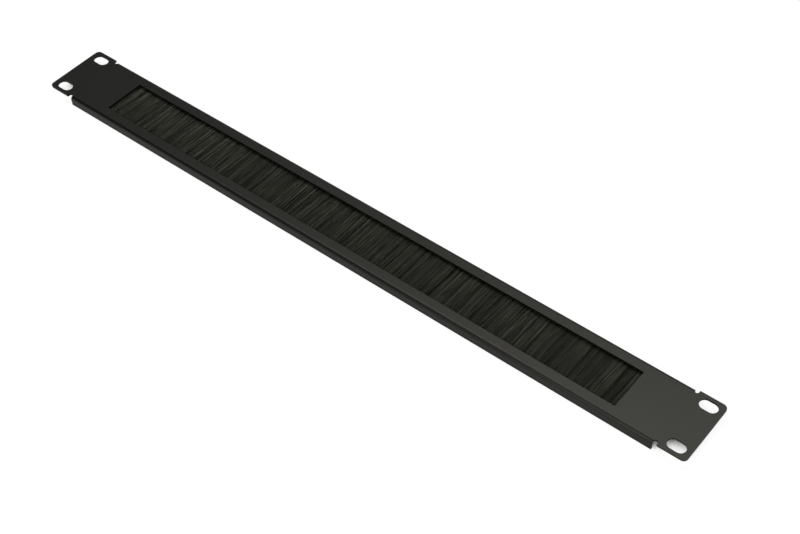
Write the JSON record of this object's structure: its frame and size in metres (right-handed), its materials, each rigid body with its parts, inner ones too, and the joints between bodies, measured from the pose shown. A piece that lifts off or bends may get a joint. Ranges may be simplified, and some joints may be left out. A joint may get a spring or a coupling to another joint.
{
  "type": "rack brush strip panel",
  "caption": "One-unit 19-inch rack panel of folded black steel with slotted ears and a wide cable window closed by a brush strip.",
  "frame": {"origin": "centre of the four rack slots, on the back plane of the ears, where the panel meets the rack's posts", "axes": "+X along the panel's width, +Y up in the rack, +Z out of the rack's front; stored lying face up on its flanges"},
  "size_m": [0.4826, 0.0436, 0.0067],
  "materials": {
    "powder_coat": "fine-textured satin black powder coat",
    "channel_steel": "galvanised, dull",
    "wire_steel": "drawn wire",
    "bristle_nylon": "black nylon filaments, slight sheen",
    "zinc_steel": "bright zinc plate"
  },
  "bodies": {
    "root": {"panel": "powder_coat", "brush_channel": "channel_steel", "core_wire": "wire_steel", "bristles": "bristle_nylon", "left_clip": "zinc_steel", "right_clip": "zinc_steel", "weld_studs": "zinc_steel", "washers": "zinc_steel", "nuts": "zinc_steel"}
  },
  "joints": []
}
